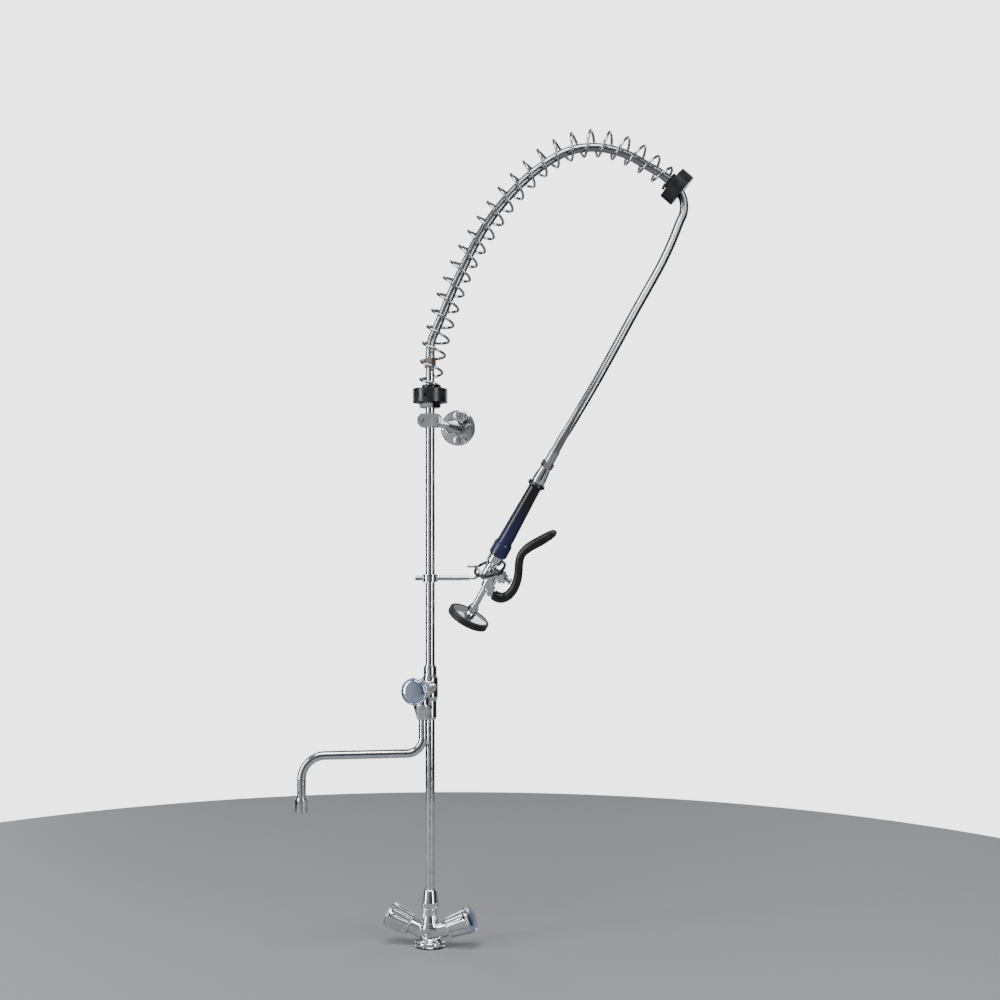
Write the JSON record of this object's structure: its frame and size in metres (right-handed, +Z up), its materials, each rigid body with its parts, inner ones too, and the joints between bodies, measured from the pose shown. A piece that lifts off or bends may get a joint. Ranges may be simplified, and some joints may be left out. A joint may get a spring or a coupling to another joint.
{
  "type": "pre rinse faucet",
  "caption": "Deck-mounted pre-rinse tap: two-handled mixer, tall riser with wall brace, swinging spout, sprung hose arch and trigger spray gun on a hook.",
  "frame": {"origin": "on the riser's axis at the deck surface, under the mixer's gasket", "axes": "+Z up the riser, +X along the wall to the user's right, +Y towards the wall, user at -Y"},
  "size_m": [0.591, 0.2848, 1.3569],
  "materials": {
    "chrome_plate": "polished chrome plate on brass",
    "cap_chrome": "polished chrome, cool tint",
    "steel": "stainless steel",
    "brass": "dull brass",
    "hose_braid": "woven stainless wire braid",
    "black_plastic": "semi-gloss black moulding",
    "black_rubber": "moulded rubber",
    "navy_plastic": "semi-gloss navy moulding",
    "white_plastic": "moulded, satin"
  },
  "bodies": {
    "fixed_body": {"base_gasket": "black_rubber", "mixer_body": "chrome_plate", "threaded_shank": "brass", "clamp_washer": "steel", "shank_nut": "brass", "hot_headwork": "brass", "cold_headwork": "brass", "column_nut": "chrome_plate", "column_lower": "chrome_plate", "tap_body": "chrome_plate", "tap_headwork": "brass", "spout_nut": "chrome_plate", "column_upper": "chrome_plate", "hook_clamp": "chrome_plate", "hook_screw": "steel", "hook_arm": "chrome_plate", "hook_finger": "chrome_plate", "bracket_front": "steel", "bracket_arm": "chrome_plate", "bracket_screws": "chrome_plate", "bracket_flange": "chrome_plate", "riser_adaptor": "chrome_plate", "lower_collar": "black_plastic", "hose_nut": "brass", "hose_ferrule": "steel", "spring": "steel", "upper_collar": "black_plastic", "hose": "hose_braid", "gun_ferrule": "steel", "gun_nut": "chrome_plate", "gun_tube": "steel", "grip": "black_plastic", "grip_sleeve": "navy_plastic", "valve_body": "chrome_plate", "valve_bonnet": "chrome_plate", "trigger_pin": "steel", "neck_tube": "chrome_plate", "head_union": "chrome_plate", "spray_dish": "chrome_plate", "spray_face": "white_plastic", "spray_rim": "black_rubber"},
    "hot_tap_handle": {"hot_handle": "chrome_plate", "hot_cap": "cap_chrome", "hot_spindle": "steel"},
    "cold_tap_handle": {"cold_handle": "chrome_plate", "cold_cap": "cap_chrome", "cold_spindle": "steel"},
    "spout_tap_handle": {"tap_handle": "chrome_plate", "tap_cap": "cap_chrome", "tap_spindle": "steel"},
    "spout": {"spout_tube": "chrome_plate", "aerator": "chrome_plate", "aerator_insert": "white_plastic"},
    "trigger": {"trigger_lever": "black_plastic", "trigger_tongue": "black_plastic"},
    "plunger": {"valve_plunger": "steel"},
    "ring": {"hanging_ring": "black_plastic"}
  },
  "joints": [
    {"name": "hot_handle_turn", "type": "hinge", "parent": "fixed_body", "child": "hot_tap_handle", "pos_m": [0, 0, 0.02], "axis": [-0.9272, 0, 0.3746], "range_deg": [0, 90]},
    {"name": "cold_handle_turn", "type": "hinge", "parent": "fixed_body", "child": "cold_tap_handle", "pos_m": [0, 0, 0.02], "axis": [0.9272, 0, 0.3746], "range_deg": [0, 90]},
    {"name": "spout_tap_turn", "type": "hinge", "parent": "fixed_body", "child": "spout_tap_handle", "pos_m": [0, 0, 0.415], "axis": [0, -1, 0], "range_deg": [0, 90]},
    {"name": "spout_swing", "type": "hinge", "parent": "fixed_body", "child": "spout", "pos_m": [0, -0.037, 0.314], "axis": [0, 0, 1], "range_deg": [-80, 200]},
    {"name": "trigger_squeeze", "type": "hinge", "parent": "fixed_body", "child": "trigger", "pos_m": [0.08984, 0.03426, 0.56578], "axis": [0.1288, -0.9655, -0.2264], "range_deg": [0, 7], "stiffness_Nm_per_rad": 2, "springref_deg": -8.59},
    {"name": "plunger_push", "type": "slide", "parent": "fixed_body", "child": "plunger", "axis": [-0.8448, -0.2264, 0.4848], "range_m": [0, 0.0038]},
    {"name": "ring_tilt", "type": "hinge", "parent": "fixed_body", "child": "ring", "pos_m": [0.09214, 0.02549, 0.60447], "axis": [-0.4487, 0.8003, 0.3978], "range_deg": [0, 8]}
  ],
  "couplings": [
    {"joint": "plunger_push", "follows": "trigger_squeeze", "m_per_rad": 0.031}
  ]
}
